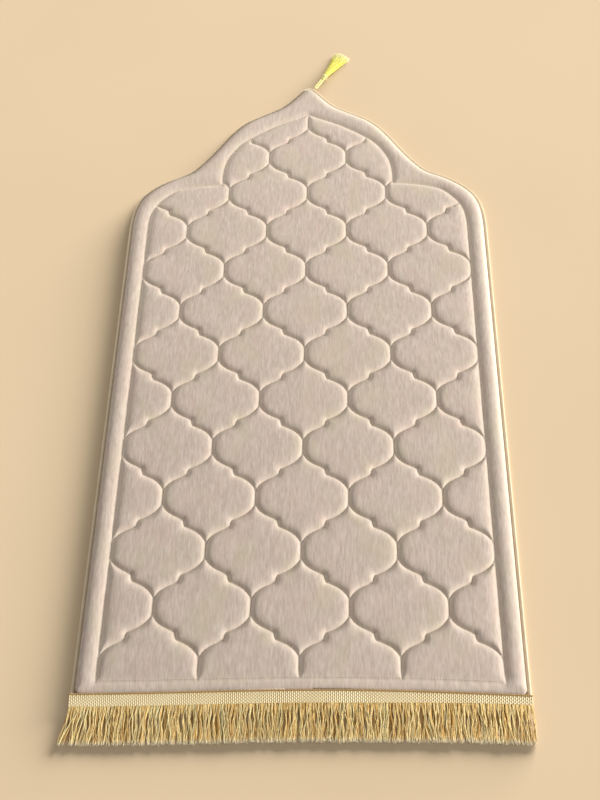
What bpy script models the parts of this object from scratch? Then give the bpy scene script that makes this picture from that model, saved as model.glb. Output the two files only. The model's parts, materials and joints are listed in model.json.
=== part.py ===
"""Padded prayer rug with an ogee dome, a pressed trellis, a gold fringe and a yellow tassel.

Blender 4.5 script, sizes in metres, +Z up. The rug lies flat with its underside on z = 0. Its dome
points along +Y and its fringe lies off the straight lower edge, towards -Y. The origin is on the
underside, in the middle of the padded body.
"""
import math
import random

import bmesh
import bpy
from mathutils import Vector, geometry, kdtree

MM = 0.001

# Driving dimensions of the padded body
WIDTH = 646 * MM
LENGTH = 1185 * MM
HEIGHT = 12 * MM
HALF_PITCH = 73.4 * MM
ROW_PITCH = 88 * MM
BORDER_COLUMNS = 4

# Places worked out from them
TIP_Y = LENGTH / 2
LOWER_Y = -LENGTH / 2
BORDER_X = BORDER_COLUMNS * HALF_PITCH
FIRST_ROW_Y = TIP_Y - 182 * MM
BORDER_LOWER_Y = LOWER_Y + 13 * MM
GAP = 0.3 * MM

# Right half of two outlines, from the middle line down: across and below the dome tip in mm, and how
# many degrees the outline dips there
EDGE_ROWS = (
    # across, below, dip
    (0, 0, 0),
    (9, 5, 50),
    (58, 55, 30),
    (108, 82.5, 31),
    (176, 163, 56),
    (213, 210, 46),
    (246, 229.5, 24),
    (300, 267, 47),
    (WIDTH / 2 / MM, 357, 90),
)
DOME_GROOVE_ROWS = (
    (0, 70.5, 28),
    (69, 103, 30),
    (116, 134.5, 36),
    (150, 178, 62),
    (161, 247, 90),
)
SHOULDER_GROOVE_ROWS = (
    (161, 248, 0),
    (240, 259, 17),
    (277, 289.5, 50),
    (BORDER_X / MM, 345, 90),
)
CORNER_RADIUS = 8 * MM
CORNER_TURNS = (0, -30, -60, -90)

# One arm of the trellis: from a neck's end it dips in an arc to a small upright step, halfway to the
# next neck, and repeats turned over
NECK_HALF = 0.159 * ROW_PITCH
ARM_BEND = Vector((0.142 * HALF_PITCH, -0.166 * ROW_PITCH))
ARM_STEP_TOP = Vector((0.485 * HALF_PITCH, -0.276 * ROW_PITCH))
BEND_SHARE = 2 / 3
ARM_SEGMENTS = 4
TRELLIS_ROWS = range(-1, 12)

# The sewn lower end wanders: how far to each side of straight, the wave's length, where it starts and
# how far up the rug it has died out
WAVE_HEIGHT = 4.8 * MM
WAVE_LENGTH = 900 * MM
WAVE_START = -150 * MM
WAVE_FADE = 110 * MM

# Relief of the upper face: the border roll falls to the rim, flat on top and steep at the end, as its
# power is more than a circle's 2
RIM_HEIGHT = 5 * MM
ROLL_REACH = 15 * MM
ROLL_POWER = 4
GROOVE_DEPTH = 5 * MM
GROOVE_REACH = 8 * MM
CROWN = 0.6 * MM
CROWN_REACH = 40 * MM
ROLL_RINGS = (2 * MM, 6 * MM, 14 * MM)

# Tolerances: points this near are one, edges bent further than this are sharp, and points on a loop
# fall inside it
MERGE = 0.01 * MM
SHARP_ANGLE = math.radians(60)
ON_LOOP_SHRINK = 0.9999
CDT_INSIDE = 1

# Spacing of the net that carries the relief
LINE_STEP = 16 * MM
BASE_STEP = HALF_PITCH / 4
FINE_STEP = 1 * MM
THIN_GAP = 3.5 * MM
CLEAR_SHARE = 0.9

# Bound edge: a flat web beside the body and a round bead on its outer side
BINDING_WEB = 3.2 * MM
BINDING_BEAD = 2.0 * MM
BINDING_LIFT = 0.2 * MM
BEAD_TURNS = (-90, -30, 30, 90, 150)

# Fringe: a woven heading with strands of yarn
FRINGE_WIDTH = 660 * MM
HEADING_DEPTH = 15 * MM
HEADING_THICKNESS = 2.4 * MM
HEADING_BACK_Z = 6.4 * MM
HEADING_FRONT_Z = 2.4 * MM
STRANDS = 150
STRAND_SHARE = 0.74
CLUMP = 3
CLUMP_PULL = 0.3
END_FLARE = 11 * MM
FLARE_POWER = 9
LENGTH_SCATTER = 3 * MM
STRAND_ROWS = (
    # reach past the heading, underside, thickness (mm), width as a share of the root width
    (10, 0.5, 2.2, 1.0),
    (28, 0.0, 1.9, 0.9),
    (60, 0.0, 1.3, 0.6),
)

# Tassel on the dome tip, lying on the floor: a doubled cord, a bound head and fanned strands
TASSEL_BASE = Vector((13 * MM, TIP_Y + 4 * MM, 0))
TASSEL_TURN = math.radians(62)
TASSEL_LOOP_LENGTH = 27 * MM
TASSEL_CORD_RADIUS = 1.7 * MM
LOOP_TURN_STEPS = 8
TASSEL_HEAD_LENGTH = 13 * MM
TASSEL_HEAD_RADIUS = 4.4 * MM
TASSEL_AXIS_Z = 6.0 * MM
TASSEL_ROOTS = TASSEL_LOOP_LENGTH + GAP + TASSEL_HEAD_LENGTH
HEAD_SIDE = 0.92
HEAD_ROWS = (
    # share of the head's length drawn back, scale
    (0.35, 1.0),
    (0.45, 1.0),
    (0.20, 0.7),
)
TASSEL_BAND_AT = 5 * MM
BAND_HALF = 2 * MM
BAND_RISE = 1 * MM
BAND_CREST_SHARE = 0.6
BAND_STEPS = 20
TASSEL_COLUMNS = 12
TASSEL_LAYERS = 2
TASSEL_BOW = 0.5
TASSEL_LAYER_SHORTER_MM = 4
TASSEL_LAYER_GAP_MM = 0.6
TASSEL_ROWS = (
    # reach past the head, half spread, underside, height of the bundle (mm), strand width share
    (12, 7.5, 1.2, 8.0, 0.74),
    (32, 13.5, 0.0, 5.4, 0.70),
    (60, 20.5, 0.0, 3.4, 0.60),
)

MATERIAL_ROWS = (
    # name, colour, roughness
    ("beige_velvet", "CDBCA8", 0.9),
    ("cream_edge_tape", "E3D3B8", 0.8),
    ("gold_yarn", "C8A468", 0.55),
    ("yellow_rayon", "F5EC5A", 0.5),
)
SEED = 7


def clear_scene():
    """Remove the objects that a new file opens with."""
    for thing in list(bpy.data.objects):
        bpy.data.objects.remove(thing, do_unlink=True)


def linear(hex_colour):
    """Turn an sRGB hex colour into linear RGBA."""
    shares = [int(hex_colour[i:i + 2], 16) / 255 for i in (0, 2, 4)]
    return [s / 12.92 if s <= 0.04045 else ((s + 0.055) / 1.055) ** 2.4 for s in shares] + [1.0]


def make_material(name, hex_colour, roughness):
    """Return a cloth material of one colour and roughness."""
    material = bpy.data.materials.new(name)
    material.use_nodes = True
    shader = material.node_tree.nodes["Principled BSDF"]
    shader.inputs["Base Color"].default_value = linear(hex_colour)
    shader.inputs["Roughness"].default_value = roughness
    shader.inputs["Metallic"].default_value = 0.0
    return material


def add_object(name, data, collection, material):
    """Link a mesh or curve to the collection as a named object with its material."""
    thing = bpy.data.objects.new(name, data)
    collection.objects.link(thing)
    data.materials.append(material)
    return thing


def mesh_from(bm, name):
    """Turn a bmesh into a smooth mesh with its faces pointing out and its corners sharp."""
    bmesh.ops.recalc_face_normals(bm, faces=bm.faces)
    mesh = bpy.data.meshes.new(name)
    bm.to_mesh(mesh)
    bm.free()
    mesh.shade_smooth()
    mesh.set_sharp_from_angle(angle=SHARP_ANGLE)
    return mesh


# --- flat outlines and lines -------------------------------------------------------------------

def curve_through(rows, step):
    """Points along a smooth curve through the rows of an outline table."""
    points = []
    for (x0, below0, dip0), (x1, below1, dip1) in zip(rows, rows[1:]):
        start = Vector((x0 * MM, TIP_Y - below0 * MM))
        end = Vector((x1 * MM, TIP_Y - below1 * MM))
        third = (end - start).length / 3
        leave = Vector((math.cos(math.radians(dip0)), -math.sin(math.radians(dip0)))) * third
        arrive = Vector((math.cos(math.radians(dip1)), -math.sin(math.radians(dip1)))) * third
        count = max(2, round(3 * third / step)) + 1
        stretch = geometry.interpolate_bezier(start, start + leave, end - arrive, end, count)
        points += stretch[1:] if points else stretch
    return points


def straight(start, end, step):
    """Points from start to end, both included, about a step apart."""
    count = max(1, round((end - start).length / step))
    return [start.lerp(end, i / count) for i in range(count + 1)]


def mirrored_loop(right_half):
    """Close a right half, given from the middle line of the top to that of the bottom."""
    left_half = [Vector((-p.x, p.y)) for p in reversed(right_half[1:-1])]
    return right_half + left_half


def edge_half(step):
    """Right half of the body's outline, from the dome tip to the middle of the lower edge."""
    curve = curve_through(EDGE_ROWS, step)
    corner = Vector((WIDTH / 2 - CORNER_RADIUS, LOWER_Y + CORNER_RADIUS))
    turns = [math.radians(a) for a in CORNER_TURNS]
    arc = [corner + CORNER_RADIUS * Vector((math.cos(a), math.sin(a))) for a in turns]
    side = straight(curve[-1], arc[0], step)
    base = straight(Vector((BORDER_X, LOWER_Y)), Vector((0, LOWER_Y)), BASE_STEP)
    return curve[:-1] + side[:-1] + arc + base


def border_half(step):
    """Right half of the groove inside the border roll, from the dome's middle to the bottom's."""
    dome = curve_through(DOME_GROOVE_ROWS, step)
    shoulder = curve_through(SHOULDER_GROOVE_ROWS, step)
    corner = Vector((BORDER_X, BORDER_LOWER_Y))
    side = straight(shoulder[-1], corner, step)
    base = straight(corner, Vector((0, BORDER_LOWER_Y)), BASE_STEP)
    return dome[:-1] + shoulder[:-1] + side[:-1] + base


def arm_line(start, side, segments):
    """One arm from the lower end of a neck to the neck a row down on the given side."""
    whole = Vector((HALF_PITCH, 2 * NECK_HALF - ROW_PITCH))
    zero = Vector((0, 0))
    bend = zero.lerp(ARM_BEND, BEND_SHARE)
    far_bend = ARM_STEP_TOP.lerp(ARM_BEND, BEND_SHARE)
    half = geometry.interpolate_bezier(zero, bend, far_bend, ARM_STEP_TOP, segments + 1)
    points = half + [whole - p for p in reversed(half)]
    return [start + Vector((side * p.x, p.y)) for p in points]


def trellis_lines(segments):
    """All necks and arms of the trellis, before the border cuts them."""
    lines = []
    for row in TRELLIS_ROWS:
        for column in range(-BORDER_COLUMNS, BORDER_COLUMNS + 1):
            if (row + column) % 2 == 0:
                continue
            middle = Vector((column * HALF_PITCH, FIRST_ROW_Y - row * ROW_PITCH))
            half = Vector((0, NECK_HALF))
            above = half * 2 if row == TRELLIS_ROWS[0] else half
            below = half * 2 if row == TRELLIS_ROWS[-1] else half
            if abs(column) < BORDER_COLUMNS:
                lines.append([middle + above, middle, middle - below])
            for side in (-1, 1):
                if abs(column + side) <= BORDER_COLUMNS and row != TRELLIS_ROWS[-1]:
                    lines.append(arm_line(middle - half, side, segments))
    return lines


def is_inside(point, loop):
    """True where a point is inside a loop; one that is on the loop's side counts as inside."""
    x, y = point.x * ON_LOOP_SHRINK, point.y
    inside = False
    for a, b in zip(loop, loop[1:] + loop[:1]):
        if (a.y > y) != (b.y > y) and x < a.x + (b.x - a.x) * (y - a.y) / (b.y - a.y):
            inside = not inside
    return inside


def crossing(a, b, loop):
    """The place where the stretch from a to b meets a loop."""
    for c, d in zip(loop, loop[1:] + loop[:1]):
        hit = geometry.intersect_line_line_2d(a, b, c, d)
        if hit:
            return hit
    return b


def cut_to(lines, loop):
    """The stretches of the lines that are inside a loop."""
    kept = []
    for line in lines:
        run = []
        flags = [is_inside(p, loop) for p in line]
        for i, point in enumerate(line):
            if flags[i]:
                run.append(point)
            if i + 1 < len(line) and flags[i] != flags[i + 1]:
                run.append(crossing(point, line[i + 1], loop))
                if flags[i]:
                    kept.append(run)
                    run = []
        if len(run) > 1:
            kept.append(run)
    return kept


def groove_lines(step, segments):
    """Every pressed line: the border's groove, closed, and the trellis inside it."""
    border = mirrored_loop(border_half(step))
    return [border + border[:1]] + cut_to(trellis_lines(segments), border)


# --- the relief and the net that carries it ----------------------------------------------------

def tree_of(lines):
    """A search tree of points set closely along the lines."""
    points = []
    for line in lines:
        for a, b in zip(line, line[1:]):
            points += straight(a, b, FINE_STEP)
    tree = kdtree.KDTree(len(points))
    for i, point in enumerate(points):
        tree.insert(point.to_3d(), i)
    tree.balance()
    return tree


def ease(share):
    """A soft step from 0 to 1."""
    share = min(max(share, 0.0), 1.0)
    return share * share * (3 - 2 * share)


def relief(point, edge_tree, line_tree):
    """Height of the upper face over a point."""
    from_edge = edge_tree.find(point.to_3d())[2]
    from_line = line_tree.find(point.to_3d())[2]
    turn = 1 - min(from_edge / ROLL_REACH, 1)
    roll = RIM_HEIGHT + (HEIGHT - RIM_HEIGHT) * (1 - turn ** ROLL_POWER) ** (1 / ROLL_POWER)
    pressed = GROOVE_DEPTH * (1 - ease(from_line / GROOVE_REACH))
    return roll - pressed + CROWN * (ease(from_line / CROWN_REACH) - 1)


def waved(x, y):
    """Where a place of the straight rug lies up the rug, once its lower end wanders."""
    aside = WAVE_HEIGHT * math.sin(math.tau * (x - WAVE_START) / WAVE_LENGTH)
    return y + aside * ease((LOWER_Y + WAVE_FADE - y) / WAVE_FADE)


def beside(line, distance):
    """Points at a distance to the left of a line."""
    points = []
    for i, point in enumerate(line):
        before = line[max(i - 1, 0)]
        after = line[min(i + 1, len(line) - 1)]
        along = (after - before).normalized()
        points.append(point + distance * Vector((-along.y, along.x)))
    return points


def thinned(points):
    """The points in turn, without those too near to one that is already kept."""
    kept = {}
    for point in points:
        column, row = math.floor(point.x / THIN_GAP), math.floor(point.y / THIN_GAP)
        around = [(column + i, row + j) for i in (-1, 0, 1) for j in (-1, 0, 1)]
        if all((point - kept[cell]).length > THIN_GAP for cell in around if cell in kept):
            kept[(column, row)] = point
    return list(kept.values())


def net_points(edge, lines, edge_tree, line_tree):
    """Points off the lines: groove shoulders, rings of the border roll and panel middles."""
    shoulders = []
    for line in lines:
        shoulders += beside(line, GROOVE_REACH) + beside(line, -GROOVE_REACH)
    rings = []
    for depth in ROLL_RINGS:
        rings += beside(edge + edge[:1], -depth)
    middles = [
        Vector((column * HALF_PITCH, FIRST_ROW_Y - row * ROW_PITCH))
        for row in TRELLIS_ROWS
        for column in range(1 - BORDER_COLUMNS, BORDER_COLUMNS)
        if (row + column) % 2 == 0
    ]
    clear = [
        p for p in shoulders + rings + middles
        if line_tree.find(p.to_3d())[2] > CLEAR_SHARE * GROOVE_REACH
        and edge_tree.find(p.to_3d())[2] > CLEAR_SHARE * ROLL_RINGS[0]
        and is_inside(p, edge)
    ]
    return thinned(clear)


def pad_mesh():
    """The padded body: a net of triangles raised to the relief, closed by a wall and a flat base."""
    edge = mirrored_loop(edge_half(LINE_STEP))
    lines = groove_lines(LINE_STEP, ARM_SEGMENTS)
    edge_tree = tree_of([edge + edge[:1]])
    line_tree = tree_of(lines)
    points = list(edge)
    constraints = []
    for line in lines:
        first = len(points)
        points += line
        constraints += [(i, i + 1) for i in range(first, len(points) - 1)]
    points += net_points(edge, lines, edge_tree, line_tree)
    ring = list(range(len(edge)))
    flat = geometry.delaunay_2d_cdt(points, constraints, [ring], CDT_INSIDE, MERGE)
    bm = bmesh.new()
    verts = [bm.verts.new((p.x, waved(p.x, p.y), relief(p, edge_tree, line_tree))) for p in flat[0]]
    for corners in flat[2]:
        bm.faces.new([verts[i] for i in corners])
    rim = [e for e in bm.edges if e.is_boundary]
    wall = bmesh.ops.extrude_edge_only(bm, edges=rim)["geom"]
    for vert in (v for v in wall if isinstance(v, bmesh.types.BMVert)):
        vert.co.z = 0
    base = [e for e in wall if isinstance(e, bmesh.types.BMEdge) and e.is_boundary]
    bmesh.ops.contextual_create(bm, geom=base)
    return mesh_from(bm, "pad")


# --- the bound edge ----------------------------------------------------------------------------

def binding_section(collection):
    """Cross-section of the bound edge, from its web beside the body to its outer bead."""
    turns = [math.radians(a) for a in BEAD_TURNS]
    bead = Vector((GAP + BINDING_WEB + BINDING_BEAD, BINDING_LIFT + BINDING_BEAD))
    points = [bead + BINDING_BEAD * Vector((math.cos(a), math.sin(a))) for a in turns]
    points.append(Vector((GAP, BINDING_LIFT + BINDING_BEAD / 2)))
    points.append(Vector((GAP, BINDING_LIFT)))
    data = bpy.data.curves.new("binding_section", "CURVE")
    spline = data.splines.new("POLY")
    spline.points.add(len(points) - 1)
    for target, point in zip(spline.points, reversed(points)):
        target.co = (point.x, point.y, 0, 1)
    spline.use_cyclic_u = True
    guide = bpy.data.objects.new("binding_section", data)
    guide.hide_render = True
    guide.display_type = "WIRE"
    collection.objects.link(guide)
    return guide


def binding_curve(section):
    """The bound edge round the sides and the dome, from one end of the fringe to the other."""
    curve = curve_through(EDGE_ROWS, LINE_STEP)
    right = curve[:-1] + straight(curve[-1], Vector((WIDTH / 2, LOWER_Y)), LINE_STEP)
    path = list(reversed(right)) + [Vector((-p.x, p.y)) for p in right[1:]]
    data = bpy.data.curves.new("edge_binding", "CURVE")
    data.dimensions = "2D"
    data.fill_mode = "NONE"
    data.bevel_mode = "OBJECT"
    data.bevel_object = section
    data.use_fill_caps = True
    spline = data.splines.new("POLY")
    spline.points.add(len(path) - 1)
    for target, point in zip(spline.points, path):
        target.co = (point.x, waved(point.x, point.y), 0, 1)
    return data


# --- strands -----------------------------------------------------------------------------------

def comb_face(bm, columns, layers, place):
    """A face cut into cells, from which strands grow.

    The odd columns of the odd layers are the strands' roots, and a comb of one layer isn't cut
    across its height. The place function turns two shares, from -1 to 1 across and up, into a
    point. Each root face is numbered from 1, and the list of their columns and layers is returned.
    """
    number = bm.faces.layers.int.new("strand")
    across = 2 * columns + 1
    up = 2 * layers + 1 if layers > 1 else 1
    bmesh.ops.create_grid(bm, x_segments=across, y_segments=up, size=0.5)
    cells = {v: (round((v.co.x + 0.5) * across), round((v.co.y + 0.5) * up)) for v in bm.verts}
    roots = []
    for face in bm.faces:
        column = min(cells[v][0] for v in face.verts)
        layer = min(cells[v][1] for v in face.verts)
        if column % 2 == 1 and (layer % 2 == 1 or layers == 1):
            roots.append((column // 2, layer // 2))
            face[number] = len(roots)
    for vert, (column, layer) in cells.items():
        height = comb_share(layer, layers) if layers > 1 else 2 * layer - 1
        vert.co = place(comb_share(column, columns), height)
    return roots


def comb_share(line, count):
    """Where a dividing line of a comb of count strands is, from -1 to 1 across it."""
    if line == 0:
        return -1
    if line == 2 * count + 1:
        return 1
    gap = 1 - STRAND_SHARE
    side = gap / 2 if line % 2 else 1 - gap / 2
    return 2 * ((line - 1) // 2 + side) / count - 1


def thicken(bm, shift):
    """Make a comb a solid, with the same cells behind that carry no strands."""
    number = bm.faces.layers.int["strand"]
    front = list(bm.faces)
    made = bmesh.ops.extrude_face_region(bm, geom=front, use_keep_orig=True)["geom"]
    for vert in (v for v in made if isinstance(v, bmesh.types.BMVert)):
        vert.co += shift
    for face in bm.faces:
        if face not in front:
            face[number] = 0


def draw_back(bm, steps):
    """Close a comb behind with rings, each the last one scaled about its middle and shifted."""
    edges = [e for e in bm.edges if e.is_boundary]
    for shift, scale in steps:
        made = bmesh.ops.extrude_edge_only(bm, edges=edges)["geom"]
        verts = {g for g in made if isinstance(g, bmesh.types.BMVert)}
        middle = sum((v.co for v in verts), Vector()) / len(verts)
        for vert in verts:
            vert.co = middle + (vert.co - middle) * scale + shift
        edges = [g for g in made if isinstance(g, bmesh.types.BMEdge) and set(g.verts) <= verts]
    bmesh.ops.contextual_create(bm, geom=edges)


def draw_out(bm, strands):
    """Draw each root face out through its strand's sections: middle, half width, half height."""
    number = bm.faces.layers.int["strand"]
    faces = [face for face in bm.faces if face[number]]
    for step in range(len(strands[0])):
        faces = bmesh.ops.extrude_discrete_faces(bm, faces=faces)["faces"]
        for face in faces:
            middle, half_width, half_height = strands[face[number] - 1][step]
            old = face.calc_center_median()
            for vert in face.verts:
                right = half_width if vert.co.x > old.x else -half_width
                up = half_height if vert.co.z > old.z else -half_height
                vert.co = middle + Vector((right, 0, up))


def fringe_strand(column, dice):
    """Sections of one fringe strand, which leans towards its clump and lies level at its end."""
    pitch = FRINGE_WIDTH / STRANDS
    root_x = (column + 0.5) * pitch - FRINGE_WIDTH / 2
    flare = END_FLARE * (2 * root_x / FRINGE_WIDTH) ** FLARE_POWER
    pull = CLUMP_PULL * pitch * ((CLUMP - 1) / 2 - column % CLUMP)
    longer = dice.uniform(-1, 1) * LENGTH_SCATTER
    last_reach = STRAND_ROWS[-1][0]
    sections = []
    for reach, under, thick, share in STRAND_ROWS:
        along = reach / last_reach
        x = root_x + (flare + pull) * along
        y = LOWER_Y - GAP - HEADING_DEPTH - reach * MM - longer * along
        middle = Vector((x, waved(root_x, y), (under + thick / 2) * MM))
        sections.append((middle, STRAND_SHARE * pitch * share / 2, thick * MM / 2))
    return sections


def fringe_mesh():
    """The fringe: a sloping woven heading whose front face is drawn out into strands."""
    dice = random.Random(SEED)
    bm = bmesh.new()

    def place(across, up):
        x = across * FRINGE_WIDTH / 2
        z = HEADING_FRONT_Z + up * HEADING_THICKNESS / 2
        return Vector((x, waved(x, LOWER_Y - GAP - HEADING_DEPTH), z))

    roots = comb_face(bm, STRANDS, 1, place)
    thicken(bm, Vector((0, HEADING_DEPTH, HEADING_BACK_Z - HEADING_FRONT_Z)))
    draw_out(bm, [fringe_strand(column, dice) for column, layer in roots])
    return mesh_from(bm, "fringe")


def tassel_strand(column, layer):
    """Sections of one tassel strand: they fan out, and the lower layer lies level at its end."""
    stagger = (layer + 0.5) / TASSEL_LAYERS
    across = 2 * (column + stagger) / TASSEL_COLUMNS - 1
    sections = []
    for reach, spread, under, height, share in TASSEL_ROWS:
        thick = height / TASSEL_LAYERS - TASSEL_LAYER_GAP_MM
        width = share * 2 * spread / TASSEL_COLUMNS
        bow = TASSEL_BOW * spread * across * across
        shorter = TASSEL_LAYER_SHORTER_MM * layer if reach == TASSEL_ROWS[-1][0] else 0
        z = under + thick / 2 + (thick + TASSEL_LAYER_GAP_MM) * layer
        middle = Vector((across * spread * MM, -(reach - bow - shorter) * MM, 0))
        middle.z = z * MM - TASSEL_AXIS_Z
        sections.append((middle, width * MM / 2, thick * MM / 2))
    return sections


def tassel_mesh():
    """The tassel along -Y from its bound neck: a round head that parts into strands."""
    bm = bmesh.new()

    def place(across, up):
        aside = across * HEAD_SIDE
        height = up * math.sqrt(1 - aside * aside)
        return Vector((aside * TASSEL_HEAD_RADIUS, 0, height * TASSEL_HEAD_RADIUS))

    roots = comb_face(bm, TASSEL_COLUMNS, TASSEL_LAYERS, place)
    draw_out(bm, [tassel_strand(column, layer) for column, layer in roots])
    draw_back(bm, [(Vector((0, share * TASSEL_HEAD_LENGTH, 0)), scale) for share, scale in HEAD_ROWS])
    return mesh_from(bm, "tassel")


# --- the whole rug -----------------------------------------------------------------------------

def stand_on_tassel(thing, back):
    """Place a tassel piece on the tassel's axis, a distance behind the strands' roots."""
    along = Vector((math.cos(TASSEL_TURN), math.sin(TASSEL_TURN), 0))
    thing.location = TASSEL_BASE + along * (TASSEL_ROOTS - back)
    thing.location.z = TASSEL_AXIS_Z
    thing.rotation_euler.z = TASSEL_TURN + math.pi / 2


def tassel_loop_curve():
    """A cord loop, doubled back on itself, from the dome tip to the tassel's head."""
    length = TASSEL_LOOP_LENGTH
    side = TASSEL_CORD_RADIUS + GAP
    turns = [math.pi * i / LOOP_TURN_STEPS for i in range(LOOP_TURN_STEPS + 1)]
    bend = [Vector((side * math.cos(a), length - side + side * math.sin(a))) for a in turns]
    path = [Vector((side, 0)), Vector((side, length / 2))] + bend
    path += [Vector((-side, length / 2)), Vector((-side, 0))]
    data = bpy.data.curves.new("tassel_loop", "CURVE")
    data.dimensions = "3D"
    data.bevel_depth = TASSEL_CORD_RADIUS
    data.bevel_resolution = 2
    data.use_fill_caps = True
    spline = data.splines.new("POLY")
    spline.points.add(len(path) - 1)
    for target, point in zip(spline.points, path):
        target.co = (point.x, point.y, 0, 1)
    return data


def tassel_band_mesh():
    """A turned ring of thread that binds the tassel's neck."""
    mesh = bpy.data.meshes.new("tassel_band")
    inner = TASSEL_HEAD_RADIUS + GAP
    outer = inner + BAND_RISE
    crest = BAND_CREST_SHARE * BAND_HALF
    profile = [(inner, -BAND_HALF), (inner, BAND_HALF), (outer, crest), (outer, -crest)]
    mesh.from_pydata([(x, y, 0) for x, y in profile], [(0, 1), (1, 2), (2, 3), (3, 0)], [])
    return mesh


def build():
    """Build every piece in the rug's collection."""
    clear_scene()
    rug = bpy.data.collections.new("prayer_rug")
    guides = bpy.data.collections.new("guides")
    bpy.context.scene.collection.children.link(rug)
    bpy.context.scene.collection.children.link(guides)
    velvet, tape, gold, yellow = [make_material(*row) for row in MATERIAL_ROWS]
    add_object("pad", pad_mesh(), rug, velvet)
    add_object("edge_binding", binding_curve(binding_section(guides)), rug, tape)
    add_object("fringe", fringe_mesh(), rug, gold)
    stand_on_tassel(add_object("tassel", tassel_mesh(), rug, yellow), 0)
    stand_on_tassel(add_object("tassel_loop", tassel_loop_curve(), rug, yellow), TASSEL_HEAD_LENGTH + GAP)
    band = add_object("tassel_band", tassel_band_mesh(), rug, yellow)
    stand_on_tassel(band, TASSEL_BAND_AT)
    screw = band.modifiers.new("turn", "SCREW")
    screw.axis = "Y"
    screw.steps = BAND_STEPS
    screw.render_steps = BAND_STEPS
    screw.use_merge_vertices = True
    screw.merge_threshold = MERGE


build()
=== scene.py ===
"""Looks of a padded prayer rug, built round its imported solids.

The face is short velvet over foam, pressed with an ogee trellis. A cream tape binds its edge, a gold
fringe is sewn to its lower end, and a yellow tassel hangs from the tip of its dome. Lengths are in
metres, in the frame of the solids: +Y runs from the fringe to the dome, and the floor is z = 0.
"""

import json
import logging
import math
from abc import ABC, abstractmethod
from dataclasses import dataclass
from enum import Enum
from typing import Any, NamedTuple

import bmesh
import bpy
import numpy as np
from bpy.types import ID, Material, Mesh, Node, NodeSocket, NodeTree, Object
from mathutils import Matrix, Vector, geometry, kdtree, noise

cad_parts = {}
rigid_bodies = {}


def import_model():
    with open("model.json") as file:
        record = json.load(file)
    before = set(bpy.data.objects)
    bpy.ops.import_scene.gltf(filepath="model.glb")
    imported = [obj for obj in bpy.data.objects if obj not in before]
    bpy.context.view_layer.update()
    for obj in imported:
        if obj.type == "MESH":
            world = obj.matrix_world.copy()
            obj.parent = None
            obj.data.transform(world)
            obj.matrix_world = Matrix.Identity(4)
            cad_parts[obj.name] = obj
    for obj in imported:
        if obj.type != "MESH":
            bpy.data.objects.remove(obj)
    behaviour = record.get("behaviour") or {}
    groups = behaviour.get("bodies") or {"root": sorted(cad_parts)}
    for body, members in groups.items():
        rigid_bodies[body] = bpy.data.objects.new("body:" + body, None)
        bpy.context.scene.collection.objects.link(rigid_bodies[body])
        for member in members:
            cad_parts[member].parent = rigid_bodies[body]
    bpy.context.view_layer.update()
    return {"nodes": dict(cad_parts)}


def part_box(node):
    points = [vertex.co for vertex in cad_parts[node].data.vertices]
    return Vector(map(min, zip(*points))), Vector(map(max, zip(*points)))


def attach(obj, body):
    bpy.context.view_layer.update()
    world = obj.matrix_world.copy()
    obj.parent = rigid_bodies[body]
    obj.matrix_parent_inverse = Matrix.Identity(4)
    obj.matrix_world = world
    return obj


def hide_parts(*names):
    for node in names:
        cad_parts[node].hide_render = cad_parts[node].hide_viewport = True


for leftover in list(bpy.data.objects):
    bpy.data.objects.remove(leftover, do_unlink=True)
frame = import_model()

MM = 0.001
BODY = "root"
SEED = 7
GAP = 0.3 * MM
# Keeps a division clear of zero
LEAST = 1e-9
# The triangulation that keeps only what is inside the outline
CDT_INSIDE = 1
# Sockets of the Mix node when it mixes colours
MIX_SHARE, MIX_FIRST, MIX_SECOND, MIX_RESULT = 0, 6, 7, 2

log = logging.getLogger("prayer_rug")


class Slot(Enum):
    """The record's material slots."""

    VELVET = "velvet"
    EDGE_TAPE = "edge_tape"
    GOLD_YARN = "gold_yarn"
    TASSEL_YARN = "tassel_yarn"


class Field(Enum):
    """The fields of waves, each at its own place in the noise."""

    BROAD = 3.1
    FINE = 8.7
    PUCKER = 5.5
    ALONG = 6.9
    ACROSS = 1.3
    LIP = 2.2


class Station(NamedTuple):
    """A place on the right half of an outline, measured from the dome's tip."""

    across_mm: float
    below_mm: float
    dip_deg: float


class LockKind(NamedTuple):
    """A kind of lock in the fringe, with its spread at the root, the waist and the tip."""

    count: int
    threads: int
    spread_mm: tuple[float, float, float]
    rise_mm: float
    lean_mm: float
    sway_mm: float
    # The kind's tone, used as painted shade low down and as painted highlight high up
    lot: float


class LockStop(NamedTuple):
    """A place along a lock, with its height and its share of the kind's rise."""

    along: float
    height_mm: float
    rise_share: float


class SkirtRow(NamedTuple):
    """A section of the tassel's skirt, at a reach past its head."""

    reach_mm: float
    half_spread_mm: float
    under_mm: float
    height_mm: float


class Tone(NamedTuple):
    """A second colour, and how much of it there is at most."""

    colour: str
    most: float


class Patch(NamedTuple):
    """Noise in a finish: a patch's size, its finer layers, and the values that become 0 and 1."""

    size: tuple[float, float, float]
    detail: float = 2.0
    low: float = 0.35
    high: float = 0.65


class Finish(ABC):
    """What the finishes share: how each takes the light, and how its shader is put together."""

    name: str
    roughness: float
    specular: float
    sheen: float = 0.0
    sheen_tint: str = "FFFFFF"

    @abstractmethod
    def feeds(self, tree: NodeTree) -> dict[str, NodeSocket]:
        """Add the finish's nodes, and return what feeds the shader, by its input."""

    def material(self) -> Material:
        """Make the material.

        Returns:
            The material.
        """
        material = bpy.data.materials.new(self.name)
        material.use_nodes = True
        tree = material.node_tree
        shader = tree.nodes["Principled BSDF"]
        set_up(shader, {"Roughness": self.roughness, "Specular IOR Level": self.specular,
                        "Sheen Weight": self.sheen, "Sheen Tint": linear(self.sheen_tint)})
        for name, source in self.feeds(tree).items():
            tree.links.new(source, shader.inputs[name])
        return material


# --- small tools -------------------------------------------------------------------------------

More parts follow.
